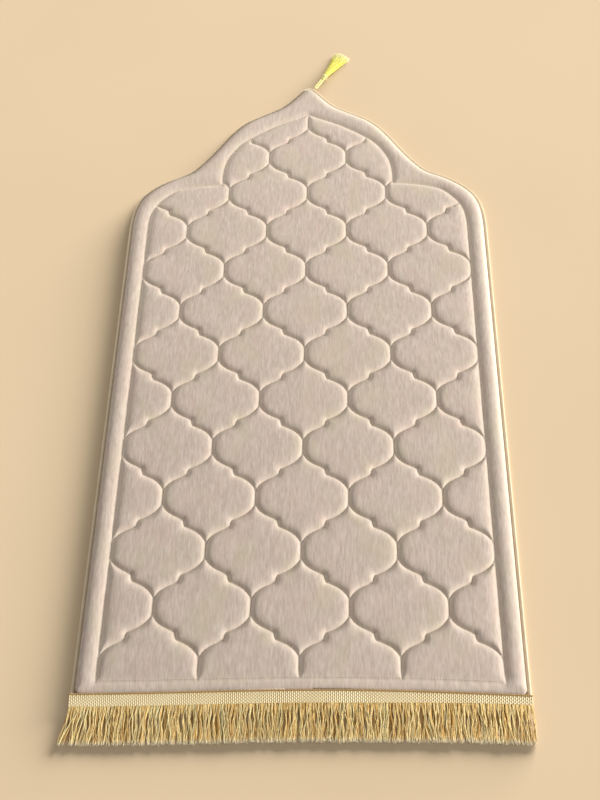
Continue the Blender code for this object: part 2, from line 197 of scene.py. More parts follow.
def linear(hex_colour: str) -> tuple[float, float, float, float]:
    """Turn an sRGB hex colour into linear RGBA.

    Args:
        hex_colour: six hex digits.

    Returns:
        The linear colour, with full alpha.
    """
    shares = [int(hex_colour[i:i + 2], 16) / 255 for i in (0, 2, 4)]
    red, green, blue = [s / 12.92 if s <= 0.04045 else ((s + 0.055) / 1.055) ** 2.4 for s in shares]
    return red, green, blue, 1.0


def set_up(node: Node, settings: dict[Any, Any]) -> None:
    """Set a node's values.

    Args:
        node: the node.
        settings: values by input socket, by its name or number, or else by the node's own property.
    """
    for name, value in settings.items():
        if isinstance(name, int) or name in node.inputs:
            node.inputs[name].default_value = value
        else:
            setattr(node, name, value)


def add_node(tree: NodeTree, kind: str, settings: dict[Any, Any] | None = None,
             links: dict[Any, NodeSocket] | None = None) -> Node:
    """Add a node with its settings and links.

    Args:
        tree: the tree that gets the node.
        kind: the node's type.
        settings: its values, as set_up takes them.
        links: outputs to plug in, by input socket.

    Returns:
        The new node.
    """
    node = tree.nodes.new(kind)
    set_up(node, settings or {})
    for name, source in (links or {}).items():
        tree.links.new(source, node.inputs[name])
    return node


def patches(tree: NodeTree, patch: Patch) -> NodeSocket:
    """Add noise whose patches have a real size.

    Args:
        tree: the tree that gets the nodes.
        patch: the patches.

    Returns:
        A share from 0 to 1.
    """
    place = add_node(tree, "ShaderNodeTexCoord").outputs["Object"]
    scale = tuple(1 / s for s in patch.size)
    scaled = add_node(tree, "ShaderNodeMapping", {"Scale": scale}, {"Vector": place})
    texture = add_node(tree, "ShaderNodeTexNoise", {"Scale": 1.0, "Detail": patch.detail},
                       {"Vector": scaled.outputs[0]})
    spread = add_node(tree, "ShaderNodeMapRange", {"From Min": patch.low, "From Max": patch.high},
                      {"Value": texture.outputs["Fac"]})
    return spread.outputs[0]


def tint(tree: NodeTree, share: NodeSocket, first: NodeSocket | str,
         second: str, most: float = 1.0) -> NodeSocket:
    """Mix a colour into another.

    Args:
        tree: the tree that gets the nodes.
        share: how much of the second colour, from 0 to 1.
        first: a colour socket or a hex colour.
        second: a hex colour.
        most: the second colour's share where the share is 1.

    Returns:
        The mixed colour.
    """
    part = add_node(tree, "ShaderNodeMath", {"operation": "MULTIPLY", 1: most}, {0: share})
    settings = {"data_type": "RGBA", MIX_SECOND: linear(second)}
    links = {MIX_SHARE: part.outputs[0]}
    if isinstance(first, str):
        settings[MIX_FIRST] = linear(first)
    else:
        links[MIX_FIRST] = first
    return add_node(tree, "ShaderNodeMix", settings, links).outputs[MIX_RESULT]


def mesh_of(name: str, verts: np.ndarray, faces: np.ndarray | list[tuple[int, ...]],
            values: dict[str, np.ndarray] | None = None) -> Mesh:
    """Make a smooth mesh with its faces pointing out.

    Args:
        name: the mesh's name.
        verts: the points, one row each.
        faces: the corners of each face.
        values: a number for each point, by attribute name.

    Returns:
        The mesh.
    """
    mesh = bpy.data.meshes.new(name)
    mesh.from_pydata(verts.tolist(), [], faces if isinstance(faces, list) else faces.tolist())
    bm = bmesh.new()
    bm.from_mesh(mesh)
    bmesh.ops.recalc_face_normals(bm, faces=bm.faces)
    bm.to_mesh(mesh)
    bm.free()
    mesh.shade_smooth()
    for key, numbers in (values or {}).items():
        attribute = mesh.attributes.new(key, "FLOAT", "POINT")
        attribute.data.foreach_set("value", numbers.astype(np.float32))
    return mesh


def put(name: str, data: ID) -> Object:
    """Put a mesh, a light or a camera in the scene.

    Args:
        name: the object's name.
        data: what it shows.

    Returns:
        The object.
    """
    thing = bpy.data.objects.new(name, data)
    bpy.context.scene.collection.objects.link(thing)
    return thing


def add_piece(name: str, mesh: Mesh, finish: Finish,
              nodes: tuple[str, ...] = ()) -> Object:
    """Put a mesh on the rug as a finished piece.

    Args:
        name: the piece's name.
        mesh: its mesh.
        finish: its finish.
        nodes: the solids that it stands for.

    Returns:
        The piece.
    """
    piece = put(name, mesh)
    mesh.materials.append(finish.material())
    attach(piece, BODY)
    if nodes:
        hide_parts(*nodes)
    mesh.calc_loop_triangles()
    log.info("%s: %d triangles", name, len(mesh.loop_triangles))
    return piece


def skin(count: int, stations: int, sides: int) -> list[tuple[int, ...]]:
    """Join rings of points into closed tubes.

    Args:
        count: the number of tubes.
        stations: the rings of each tube.
        sides: the points of each ring.

    Returns:
        The faces.
    """
    number = np.arange(count * stations * sides).reshape(count, stations, sides)
    turned = np.roll(number, -1, axis=2)
    quads = np.stack([number[:, :-1], turned[:, :-1], turned[:, 1:], number[:, 1:]], axis=-1)
    faces = []
    for part in (quads.reshape(-1, 4), number[:, 0, ::-1], number[:, -1]):
        faces += [tuple(corners) for corners in part.tolist()]
    return faces


def tube_points(paths: np.ndarray, radii: np.ndarray | float, sides: int) -> np.ndarray:
    """Place the rings of even-sided tubes along paths.

    Args:
        paths: points by thread, station and axis.
        radii: a radius by thread and station, or one for all.
        sides: the sides of each tube.

    Returns:
        The points, one row each.
    """
    along = np.gradient(paths, axis=1)
    along /= np.linalg.norm(along, axis=2, keepdims=True)
    aside = np.cross(along, np.array([0.0, 0.0, 1.0]))
    aside /= np.maximum(np.linalg.norm(aside, axis=2, keepdims=True), LEAST)
    up = np.cross(aside, along)
    turns = np.arange(sides) * math.tau / sides
    ring = (aside[:, :, None] * np.cos(turns)[None, None, :, None]
            + up[:, :, None] * np.sin(turns)[None, None, :, None])
    wide = np.broadcast_to(radii, paths.shape[:2])[:, :, None, None]
    return (paths[:, :, None] + ring * wide).reshape(-1, 3)


def add_threads(name: str, paths: np.ndarray, radii: np.ndarray | float, sides: int, finish: Finish,
                nodes: tuple[str, ...] = (),
                values: dict[str, np.ndarray | float] | None = None) -> None:
    """Put threads on the rug as one finished piece.

    Args:
        name: the piece's name.
        paths: points by thread, station and axis.
        radii: a radius by thread and station, or one for all.
        sides: the sides of each thread.
        finish: its finish.
        nodes: the solids that it stands for.
        values: a number by thread and station, or one for all, by attribute name.
    """
    shape = paths.shape[:2]
    everywhere = {key: np.repeat(np.broadcast_to(numbers, shape), sides)
                  for key, numbers in (values or {}).items()}
    mesh = mesh_of(name, tube_points(paths, radii, sides), skin(*shape, sides), everywhere)
    add_piece(name, mesh, finish, nodes)


def ease(share: np.ndarray) -> np.ndarray:
    """Return a soft step from 0 to 1."""
    share = np.clip(share, 0.0, 1.0)
    return share * share * (3 - 2 * share)


def waves(points: np.ndarray, size: float, field: Field) -> np.ndarray:
    """Give a smooth random number, from -1 to 1, at each point.

    Args:
        points: the points, one row each.
        size: the size of a wave.
        field: the field of waves.

    Returns:
        One number for each point.
    """
    level = field.value
    return np.array([noise.noise(Vector((x / size, y / size, level))) for x, y in points[:, :2]])


def tree_of(points: np.ndarray) -> kdtree.KDTree:
    """Make a search tree of flat points.

    Args:
        points: the points, one row each.

    Returns:
        The tree.
    """
    tree = kdtree.KDTree(len(points))
    for i, (x, y) in enumerate(points):
        tree.insert((x, y, 0), i)
    tree.balance()
    return tree


def distances(points: np.ndarray, tree: kdtree.KDTree) -> np.ndarray:
    """Return each flat point's distance from the nearest one of a tree."""
    return np.array([tree.find((x, y, 0))[2] for x, y in points[:, :2]])


def straight(start: tuple[float, float], end: tuple[float, float], step: float) -> np.ndarray:
    """Return points from start to end, both included, about a step apart."""
    count = max(1, round(math.dist(start, end) / step))
    return np.linspace(start, end, count + 1)


def refined(line: np.ndarray, step: float) -> np.ndarray:
    """Return a line's points and more between them, about a step apart."""
    return np.vstack([straight(a, b, step) for a, b in zip(line, line[1:])])


def leftward(line: np.ndarray) -> np.ndarray:
    """Work out which way is left along a line.

    Args:
        line: its flat points, in turn.

    Returns:
        A direction of length 1 at each point.
    """
    along = np.gradient(line, axis=0)
    along /= np.maximum(np.linalg.norm(along, axis=1, keepdims=True), LEAST)
    return np.stack([-along[:, 1], along[:, 0]], axis=1)


def inside(points: np.ndarray, loop: np.ndarray) -> np.ndarray:
    """Say which points are inside a loop.

    Args:
        points: the points, one row each.
        loop: the loop's corners, in turn.

    Returns:
        A truth value for each point.
    """
    x, y = points[:, 0], points[:, 1]
    found = np.zeros(len(points), bool)
    for (ax, ay), (bx, by) in zip(loop, np.roll(loop, -1, axis=0)):
        if ay != by:
            found ^= ((ay > y) != (by > y)) & (x < ax + (bx - ax) * (y - ay) / (by - ay))
    return found


# --- finishes ----------------------------------------------------------------------------------

@dataclass(frozen=True)
class PressedVelvet(Finish):
    """Polyester velvet, heat-pressed onto foam.

    The short pile leans along the rug, so its nap shows as fine streaks that run that way. It is
    matt face on and pale where it curves away. The grooves are tinted lighter as a painted highlight,
    and the outer flank of the right-hand roll is tinted cream as a painted highlight.
    """

    name: str = "pressed_polyester_velvet"
    base: str = "CFC0B5"
    dark_nap: Tone = Tone("A29284", 0.5)
    pale_nap: Tone = Tone("E8DDD4", 0.3)
    rose: Tone = Tone("D8B9B1", 0.18)
    moss: Tone = Tone("C4BCA0", 0.35)
    # The grooves are tinted lighter: a painted highlight for the lit wall of each groove
    pressed: Tone = Tone("E8DAC6", 0.3)
    # A cream tint on the outer flank of the right-hand roll, fading towards the lower end: a painted
    # highlight on the side that faces the light
    right_flank_highlight: Tone = Tone("FFF6E2", 0.55)
    # A pile tuft is 0.4 mm wide, too fine for the render, so the streaks are drawn 2.6 mm wide
    nap: Patch = Patch((2.6 * MM, 13 * MM, 8 * MM), 2.0, 0.3, 0.7)
    brushed: Patch = Patch((4.5 * MM, 26 * MM, 14 * MM), 2.0, 0.5, 0.72)
    mottle: Patch = Patch((30 * MM, 44 * MM, 30 * MM), 1.0, 0.5, 0.7)
    wide_mottle: Patch = Patch((41.1 * MM, 60.28 * MM, 41.1 * MM), 1.0, 0.5, 0.7)
    pile_depth: float = 0.5 * MM
    pile_shows: float = 0.15
    roughness: float = 0.9
    specular: float = 0.2
    sheen: float = 0.4
    sheen_tint: str = "FFF8EC"

    def feeds(self, tree: NodeTree) -> dict[str, NodeSocket]:
        """Add the nodes.

        Args:
            tree: the material's tree.

        Returns:
            What feeds the shader, by its input.
        """
        nap = patches(tree, self.nap)
        colour = tint(tree, nap, self.base, *self.dark_nap)
        for patch, tone in ((self.brushed, self.pale_nap), (self.mottle, self.rose),
                            (self.wide_mottle, self.moss)):
            colour = tint(tree, patches(tree, patch), colour, *tone)
        # Both attributes paint highlights: a lighter tint in the grooves and a cream tint on the
        # right-hand roll's outer flank
        for name, tone in (("pressed", self.pressed), ("painted_flank_highlight", self.right_flank_highlight)):
            share = add_node(tree, "ShaderNodeAttribute", {"attribute_name": name}).outputs["Fac"]
            colour = tint(tree, share, colour, *tone)
        raised = add_node(tree, "ShaderNodeBump", {
            "Strength": self.pile_shows, "Distance": self.pile_depth}, {"Height": nap})
        return {"Base Color": colour, "Normal": raised.outputs[0]}


@dataclass(frozen=True)
class WovenTape(Finish):
    """Flat polyester tape or backing, woven plain: crosswise ribs that catch a little light."""

    name: str
    colour: str
    shade: str
    # The ribs are 0.5 mm apart, too fine for the render, so they are drawn at 1.5 mm
    rib: Patch = Patch((1.5 * MM,) * 3)
    rib_share: float = 0.35
    rib_height: float = 0.3 * MM
    rib_shows: float = 0.4
    soil: Patch = Patch((30 * MM,) * 3)
    soil_share: float = 0.25
    roughness: float = 0.75
    specular: float = 0.3
    sheen: float = 0.15

    def feeds(self, tree: NodeTree) -> dict[str, NodeSocket]:
        """Add the nodes.

        Args:
            tree: the material's tree.

        Returns:
            What feeds the shader, by its input.
        """
        rib = patches(tree, self.rib)
        colour = tint(tree, rib, self.colour, self.shade, self.rib_share)
        colour = tint(tree, patches(tree, self.soil), colour, self.shade, self.soil_share)
        raised = add_node(tree, "ShaderNodeBump", {
            "Strength": self.rib_shows, "Distance": self.rib_height}, {"Height": rib})
        return {"Base Color": colour, "Normal": raised.outputs[0]}


@dataclass(frozen=True)
class ViscoseYarn(Finish):
    """Shiny viscose yarn: threads of slightly different dye lots, with paler cut ends. The same tone and
    pale-end shares also carry painted shade and painted highlight.

    The smooth filaments give each thread a soft gloss along its length.
    """

    name: str
    shade: str
    colour: str
    light: str
    # The pale colour of cut ends, also used as a painted highlight
    end: str
    roughness: float = 0.42
    soil: Patch = Patch((45 * MM,) * 3)
    soil_share: float = 0.2
    end_share: float = 0.8
    middle_lot: float = 0.5
    specular: float = 0.5
    sheen: float = 0.2

    def feeds(self, tree: NodeTree) -> dict[str, NodeSocket]:
        """Add the nodes.

        Args:
            tree: the material's tree.

        Returns:
            What feeds the shader, by its input.
        """
        lot, cut = [add_node(tree, "ShaderNodeAttribute", {"attribute_name": name}).outputs["Fac"]
                    for name in ("lot", "pale_end_and_highlight")]
        colour = self.colour
        for far_lot, tone in ((1.0, self.light), (0.0, self.shade)):
            span = {"From Min": self.middle_lot, "From Max": far_lot}
            share = add_node(tree, "ShaderNodeMapRange", span, {"Value": lot}).outputs[0]
            colour = tint(tree, share, colour, tone)
        colour = tint(tree, patches(tree, self.soil), colour, self.shade, self.soil_share)
        # The pale-end share paints the cut ends pale and also serves as a painted highlight
        return {"Base Color": tint(tree, cut, colour, self.end, self.end_share)}


@dataclass(frozen=True)
class PaperSweep(Finish):
    """Matt seamless paper: even, with the faintest cloudiness."""

    name: str = "matt_paper"
    colour: str = "EBD4B2"
    cloud: str = "E9D2B0"
    clouds: Patch = Patch((400 * MM,) * 3, 1.0)
    roughness: float = 0.95
    specular: float = 0.1

    def feeds(self, tree: NodeTree) -> dict[str, NodeSocket]:
        """Add the nodes, and return what feeds the shader, by its input."""
        return {"Base Color": tint(tree, patches(tree, self.clouds), self.colour, self.cloud)}


# --- the plan of the rug -----------------------------------------------------------------------

@dataclass
class RugPlan:
    """The rug's lines seen from above, on the box that the frame gives its pad."""

    length: float = 1185 * MM
    half_pitch: float = 73.4 * MM
    row_pitch: float = 88 * MM
    columns: int = 4
    rows: range = range(-1, 12)
    first_row_below: float = 182 * MM
    lower_border: float = 13 * MM
    corner_radius: float = 8 * MM
    corner_turns_deg: range = range(-15, -90, -15)
    neck_share: float = 0.159
    arm_bend: tuple[float, float] = (0.142, -0.166)
    arm_step: tuple[float, float] = (0.485, -0.276)
    bend_share: float = 2 / 3
    arm_lead: float = 11 * MM
    arm_points: int = 14
    step: float = 4 * MM
    # A line that runs on the border's own side counts as inside it
    on_border_shrink: float = 0.9999
    wave_height: float = 4.8 * MM
    wave_length: float = 900 * MM
    wave_start: float = -150 * MM
    wave_fade: float = 110 * MM
    edge_rows: tuple[Station, ...] = (
        Station(0, 0, 0), Station(9, 5, 50), Station(58, 55, 30), Station(108, 82.5, 31),
        Station(176, 163, 56), Station(213, 210, 46), Station(246, 229.5, 24),
        Station(300, 267, 47), Station(323, 357, 90),
    )
    dome_rows: tuple[Station, ...] = (
        Station(0, 70.5, 28), Station(69, 103, 30), Station(116, 134.5, 36),
        Station(150, 178, 62), Station(161, 247, 90),
    )
    shoulder_rows: tuple[Station, ...] = (
        Station(161, 248, 0), Station(240, 259, 17), Station(277, 289.5, 50),
        Station(293.6, 345, 90),
    )

    def __post_init__(self) -> None:
        """Take the pad's place from the frame."""
        _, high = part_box("pad")
        self.half_width = high.x
        self.tip_y = high.y
        self.lower_y = high.y - self.length
        self.height = high.z
        self.border_x = self.columns * self.half_pitch
        self.border_y = self.lower_y + self.lower_border
        self.neck_half = self.neck_share * self.row_pitch

    def waved(self, x: np.ndarray, y: np.ndarray) -> np.ndarray:
        """Move places up or down the rug, as its sewn lower end wanders.

        Args:
            x: places across the straight rug.
            y: places along it.

        Returns:
            The places along the real rug.
        """
        aside = self.wave_height * np.sin(math.tau * (x - self.wave_start) / self.wave_length)
        return y + aside * ease((self.lower_y + self.wave_fade - y) / self.wave_fade)

    def curve(self, rows: tuple[Station, ...]) -> np.ndarray:
        """Draw a smooth curve through an outline's stations.

        Args:
            rows: the stations, in turn.

        Returns:
            Its points.
        """
        points = []
        for a, b in zip(rows, rows[1:]):
            start = Vector((a.across_mm * MM, self.tip_y - a.below_mm * MM))
            end = Vector((b.across_mm * MM, self.tip_y - b.below_mm * MM))
            dips = [math.radians(s.dip_deg) for s in (a, b)]
            third = (end - start).length / 3
            leave, arrive = [Vector((math.cos(d), -math.sin(d))) * third for d in dips]
            count = max(2, round(3 * third / self.step)) + 1
            stretch = geometry.interpolate_bezier(start, start + leave, end - arrive, end, count)
            points += stretch[1:] if points else stretch
        return np.array([p[:2] for p in points])

    def mirrored(self, half: np.ndarray) -> np.ndarray:
        """Close a right half that runs from the top's middle to the bottom's."""
        return np.vstack([half, half[-2:0:-1] * (-1, 1)])

    def side(self) -> np.ndarray:
        """Draw the right side, from the dome's tip to where the lower corner starts.

        Returns:
            Its points.
        """
        curve = self.curve(self.edge_rows)
        end = (self.half_width, self.lower_y + self.corner_radius)
        return np.vstack([curve[:-1], straight(curve[-1], end, self.step)])

    def edge(self) -> np.ndarray:
        """Draw the pad's outline.

        Returns:
            Its points, as a loop.
        """
        turns = np.radians(self.corner_turns_deg)
        corner = np.array([self.half_width, self.lower_y]) + (-self.corner_radius, self.corner_radius)
        arc = corner + self.corner_radius * np.stack([np.cos(turns), np.sin(turns)], axis=1)
        start = (self.half_width - self.corner_radius, self.lower_y)
        base = straight(start, (0, self.lower_y), self.step)
        return self.mirrored(np.vstack([self.side(), arc, base]))

    def border(self) -> np.ndarray:
        """Draw the groove inside the border roll.

        Returns:
            Its points, as a loop.
        """
        dome = self.curve(self.dome_rows)
        shoulder = self.curve(self.shoulder_rows)
        corner = (self.border_x, self.border_y)
        side = straight(shoulder[-1], corner, self.step)
        base = straight(corner, (0, self.border_y), self.step)
        return self.mirrored(np.vstack([dome[:-1], shoulder[:-1], side[:-1], base]))

    def arm(self, start: np.ndarray, side: int) -> np.ndarray:
        """Draw an arm of the trellis.

        Args:
            start: the lower end of the neck that it leaves.
            side: 1 for an arm to the right, -1 to the left.

        Returns:
            Its points, down to the next row's neck.
        """
        cell = np.array([self.half_pitch, self.row_pitch])
        whole = Vector((self.half_pitch, 2 * self.neck_half - self.row_pitch))
        lead = Vector((0, self.arm_lead))
        bend, step = Vector(cell * self.arm_bend), Vector(cell * self.arm_step)
        half = geometry.interpolate_bezier(
            lead, -lead, step.lerp(bend, self.bend_share), step, self.arm_points)
        upper = np.array([p[:2] for p in half])
        lower = np.array(whole) - upper[::-1]
        drop = straight(upper[-1], lower[0], self.step)[1:-1]
        return start + np.vstack([upper, drop, lower]) * (side, 1)

    def trellis(self) -> list[np.ndarray]:
        """Draw every neck and arm of the trellis, before the border cuts them.

        Returns:
            The points of each line.
        """
        lines = []
        for row in self.rows:
            for column in range(-self.columns, self.columns + 1):
                if (row + column) % 2 == 0:
                    continue
                x = column * self.half_pitch
                y = self.tip_y - self.first_row_below - row * self.row_pitch
                above = self.neck_half * (2 if row == self.rows[0] else 1)
                below = self.neck_half * (2 if row == self.rows[-1] else 1)
                if abs(column) < self.columns:
                    lines.append(straight((x, y + above), (x, y - below), self.step))
                for side in (-1, 1):
                    if abs(column + side) <= self.columns and row != self.rows[-1]:
                        lines.append(self.arm(np.array([x, y - self.neck_half]), side))
        return lines

    def grooves(self) -> list[np.ndarray]:
        """Draw every pressed line.

        Returns:
            The points of each line: the border's, closed, and then the trellis inside it.
        """
        border = self.border()
        kept = [np.vstack([border, border[:1]])]
        for line in self.trellis():
            flags = inside(line * (self.on_border_shrink, 1), border)
            runs = np.split(np.arange(len(line)), np.flatnonzero(np.diff(flags.astype(int))) + 1)
            kept += [line[run] for run in runs if flags[run[0]] and len(run) > 1]
        return kept


# --- the padded body ---------------------------------------------------------------------------

@dataclass
class PaddedBody:
    """Velvet, foam and backing, pressed into one pad with a rolled border and a trellis."""

    plan: RugPlan
    rim_height: float = 3.8 * MM
    roll_reach: float = 16 * MM
    groove_depth: float = 5.0 * MM
    groove_reach: float = 4.6 * MM
    border_reach: float = 6.2 * MM
    groove_power: float = 1.3
    # Where the painted highlight lies on the outer flank of the right-hand roll
    flank_reach: float = 10 * MM
    flank_start: float = 30 * MM
    least_flank_highlight: float = 0.3
    crown: float = 0.4 * MM
    crown_reach: float = 40 * MM
    unevenness: float = 0.3 * MM
    broad: float = 55 * MM
    fine: float = 18 * MM
    fine_share: float = 0.5
    sunk: float = 0.8
    wander: float = 0.4 * MM
    wander_size: float = 30 * MM
    hem_reach: float = 9 * MM
    hem_fullness: float = 0.55
    sewn_rise: float = 3.2 * MM
    pucker: float = 0.5 * MM
    pucker_pitch: float = 9 * MM
    groove_rows_mm: tuple[float, ...] = (0.6, 1.4, 2.3, 3.4, 4.8, 6.6, 9, 12.5)
    roll_rows_mm: tuple[float, ...] = (0.2, 0.7, 1.6, 3, 5, 8, 12, 16)
    line_step: float = 1 * MM
    fill_pitch: float = 7 * MM
    cell: float = 0.8 * MM
    clear_share: float = 0.93
    rim_clear_share: float = 0.9
    merge: float = 0.01 * MM
    sharp_deg: float = 70
    fill: float = 0.7
    backing: WovenTape = WovenTape("plain_polyester_backing", "C9B9A2", "B5A48C")

    def __post_init__(self) -> None:
        """Lay out the lines and their search trees."""
        loop = self.plan.edge()
        self.loop = loop
        self.closed = np.vstack([loop, loop[:1]])
        self.lines = self.plan.grooves()
        fine_lines = [refined(line, self.line_step) for line in self.lines]
        self.edge_tree = tree_of(refined(self.closed, self.line_step))
        self.line_tree = tree_of(np.vstack(fine_lines))
        self.border_tree = tree_of(fine_lines[0])

    def height_at(self, points: np.ndarray) -> tuple[np.ndarray, np.ndarray, np.ndarray]:
        """Work out the pad's upper face.

        Args:
            points: flat points, one row each.

        Returns:
            The height at each point, how deeply it is pressed, which also sets the painted highlight in
            the grooves, and the share of painted highlight on the right-hand roll's outer flank, both
            from 0 to 1.
        """
        plan, up_rug = self.plan, points[:, 1]
        from_edge = distances(points, self.edge_tree)
        from_line = distances(points, self.line_tree)
        from_border = distances(points, self.border_tree)
        turn = 1 - np.minimum(from_edge / self.roll_reach, 1)
        sewn = np.exp(-((up_rug - plan.lower_y) / self.hem_reach) ** 2)
        rim = self.rim_height + self.sewn_rise * sewn
        roll = rim + (plan.height - rim) * np.sqrt(1 - turn * turn)
        share = np.minimum(from_line / self.groove_reach, from_border / self.border_reach)
        pressed = np.exp(-share ** self.groove_power)
        # The outer flank of the roll on the right gets a painted highlight that fades towards the lower
        # end and is gone at the sewn end
        flank = np.exp(-(from_edge / self.flank_reach) ** 2) * (1 - sewn)
        upwards = (up_rug - plan.lower_y) / (plan.tip_y - plan.lower_y)
        flank_highlight = flank * ease(points[:, 0] / self.flank_start) * ease(self.least_flank_highlight + upwards)
        crown = self.crown * (ease(from_line / self.crown_reach) - 1)
        inner = ease(from_edge / self.roll_reach)
        rough = (waves(points, self.broad, Field.BROAD)
                 + self.fine_share * waves(points, self.fine, Field.FINE) - self.sunk)
        hem = np.exp(-((up_rug - plan.border_y) / self.hem_reach) ** 2)
        ripple = self.pucker * hem * waves(points, self.pucker_pitch, Field.PUCKER)
        groove = self.groove_depth * pressed * (1 - self.hem_fullness * hem)
        height = roll - groove + crown + self.unevenness * inner * rough + ripple
        return height, pressed, flank_highlight

    def net(self) -> np.ndarray:
        """Choose the points off the lines: rows beside them, rings of the roll and an even fill.

        Returns:
            The flat points.
        """
        plan = self.plan
        found = []
        groove_rows = [r * MM for r in self.groove_rows_mm]
        roll_rows = [r * MM for r in self.roll_rows_mm]
        for reach in groove_rows:
            rows = np.vstack([line + side * reach * leftward(line)
                              for line in self.lines for side in (-1, 1)])
            found.append(rows[distances(rows, self.line_tree) > self.clear_share * reach])
        for depth in roll_rows:
            ring = self.closed - depth * leftward(self.closed)
            found.append(ring[distances(ring, self.edge_tree) > self.clear_share * depth])
        xs = np.arange(-plan.half_width, plan.half_width, self.fill_pitch)
        ys = np.arange(plan.lower_y, plan.tip_y, self.fill_pitch)
        fill = np.stack(np.meshgrid(xs, ys), axis=-1).reshape(-1, 2)
        fill[:, 0] += (np.round(fill[:, 1] / self.fill_pitch) % 2) * self.fill_pitch / 2
        clear = distances(fill, self.line_tree) > groove_rows[-1] + self.fill_pitch / 3
        found.append(fill[clear & (distances(fill, self.edge_tree) > self.fill_pitch / 2)])
        points = np.vstack(found)
        points = points[inside(points, self.loop)]
        points = points[distances(points, self.edge_tree) > self.rim_clear_share * roll_rows[0]]
        _, first = np.unique(np.round(points / self.cell).astype(int), axis=0, return_index=True)
        return points[np.sort(first)]

    def plan_mesh(self) -> tuple[np.ndarray, list[list[int]]]:
        """Cut the pad's plan into triangles that follow its lines.

        Returns:
            The flat points, and the corners of each triangle.
        """
        points = [Vector(p) for p in self.loop]
        constraints = []
        for line in self.lines:
            first = len(points)
            points += [Vector(p) for p in line]
            constraints += [(i, i + 1) for i in range(first, len(points) - 1)]
        points += [Vector(p) for p in self.net()]
        ring = list(range(len(self.loop)))
        flat = geometry.delaunay_2d_cdt(points, constraints, [ring], CDT_INSIDE, self.merge)
        return np.array([p[:2] for p in flat[0]]), flat[2]

    def mesh(self) -> Mesh:
        """Make the pad: a fine relief over a wall and a flat base.

        Returns:
            The mesh, whose second material is the backing.
        """
        places, triangles = self.plan_mesh()
        height, pressed, flank_highlight = self.height_at(places)
        shift = self.wander * ease(distances(places, self.edge_tree) / self.roll_reach)
        places[:, 1] = (self.plan.waved(places[:, 0], places[:, 1])
                        + shift * waves(places, self.wander_size, Field.ALONG))
        places[:, 0] += shift * waves(places, self.wander_size, Field.ACROSS)
        bm = bmesh.new()
        layers = [bm.verts.layers.float.new(name) for name in ("pressed", "painted_flank_highlight")]
        for (x, y), z, *shares in zip(places, height, pressed, flank_highlight):
            vert = bm.verts.new((x, y, z))
            for layer, share in zip(layers, shares):
                vert[layer] = share
        bm.verts.ensure_lookup_table()
        for corners in triangles:
            bm.faces.new([bm.verts[i] for i in corners])
        rim = [e for e in bm.edges if e.is_boundary]
        wall = bmesh.ops.extrude_edge_only(bm, edges=rim)["geom"]
        for vert in (v for v in wall if isinstance(v, bmesh.types.BMVert)):
            vert.co.z = 0
        base = [e for e in wall if isinstance(e, bmesh.types.BMEdge) and e.is_boundary]
        for face in bmesh.ops.contextual_create(bm, geom=base)["faces"]:
            face.material_index = 1
        bmesh.ops.recalc_face_normals(bm, faces=bm.faces)
        mesh = bpy.data.meshes.new("padded_body")
        bm.to_mesh(mesh)
        bm.free()
        mesh.shade_smooth()
        mesh.set_sharp_from_angle(angle=math.radians(self.sharp_deg))
        return mesh

    def build(self) -> None:
        """Build and dress the pad."""
        pad = add_piece("padded_body", self.mesh(), PressedVelvet(), ("pad",))
        pad.data.materials.append(self.backing.material())


@dataclass
class StitchLine:
    """The run of stitches along the upper side of the lower border's groove."""

    body: PaddedBody
    pitch: float = 4.2 * MM
    length: float = 2.8 * MM
    radius: float = 0.45 * MM
    above_groove: float = 3.2 * MM
    end_dip: float = 1.2
    middle_rise: float = 0.4
    stations: int = 5
    sides: int = 5
    thread: WovenTape = WovenTape("polyester_sewing_thread", "C2B1A0", "AB9A88")

    def build(self) -> None:
        """Build and dress the stitches."""
        plan = self.body.plan
        reach = plan.border_x - 2 * self.pitch
        middles = np.arange(-reach, reach, self.pitch)
        share = np.linspace(-1, 1, self.stations)
        xs = middles[:, None] + share * self.length / 2
        ys = np.full_like(xs, plan.border_y + self.above_groove)
        height = self.body.height_at(np.stack([xs, ys], axis=-1).reshape(-1, 2))[0]
        dip = self.radius * (self.end_dip * share * share - self.middle_rise)
        paths = np.stack([xs, plan.waved(xs, ys), height.reshape(xs.shape) - dip], axis=-1)
        add_threads("border_stitches", paths, self.radius, self.sides, self.thread)


# --- the bound edge ----------------------------------------------------------------------------

